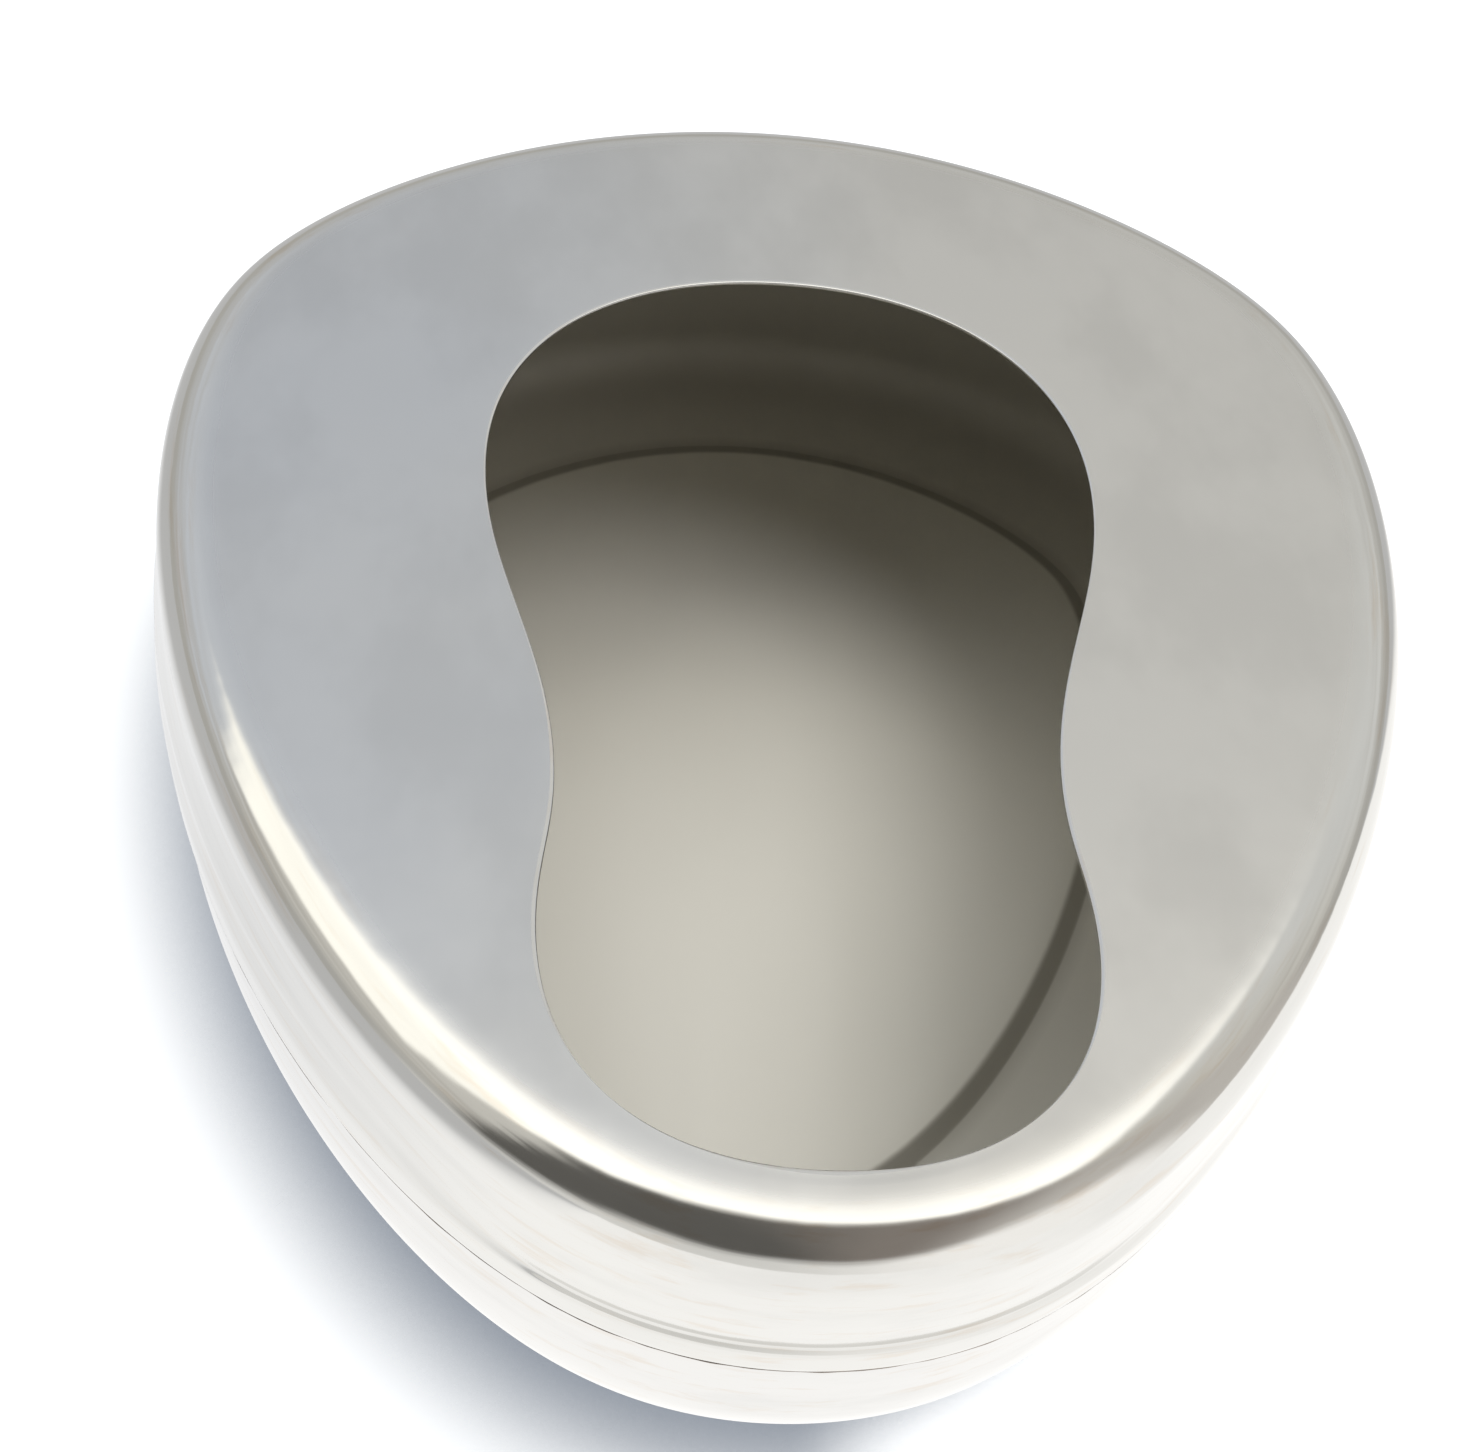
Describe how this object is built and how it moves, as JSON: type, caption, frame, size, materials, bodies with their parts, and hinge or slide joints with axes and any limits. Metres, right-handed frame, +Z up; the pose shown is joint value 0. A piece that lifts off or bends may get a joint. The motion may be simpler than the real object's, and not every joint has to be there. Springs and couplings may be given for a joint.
{
  "type": "bedpan",
  "caption": "Perfection-pattern steel bedpan: sloping seat deck with a keyhole opening over a deep bowl-shaped pan, broad at the rear and narrow at the front.",
  "frame": {"origin": "bottom centre of the bounding box: on the resting floor's plane, midway between the front and rear ends, on the plane of symmetry", "axes": "+Z up, +Y towards the broad, lower rear end that goes under the patient's back, -Y towards the narrow, higher front end, X across"},
  "size_m": [0.2942, 0.3382, 0.1131],
  "materials": {
    "seat_steel": "satin deck with a mirror-polished shoulder and wall",
    "pan_steel": "polished outside, satin inside",
    "weld_steel": "ground back and buffed weld"
  },
  "bodies": {
    "root": {"seat_shell": "seat_steel", "base_pan": "pan_steel", "seam_weld": "weld_steel"}
  },
  "joints": []
}
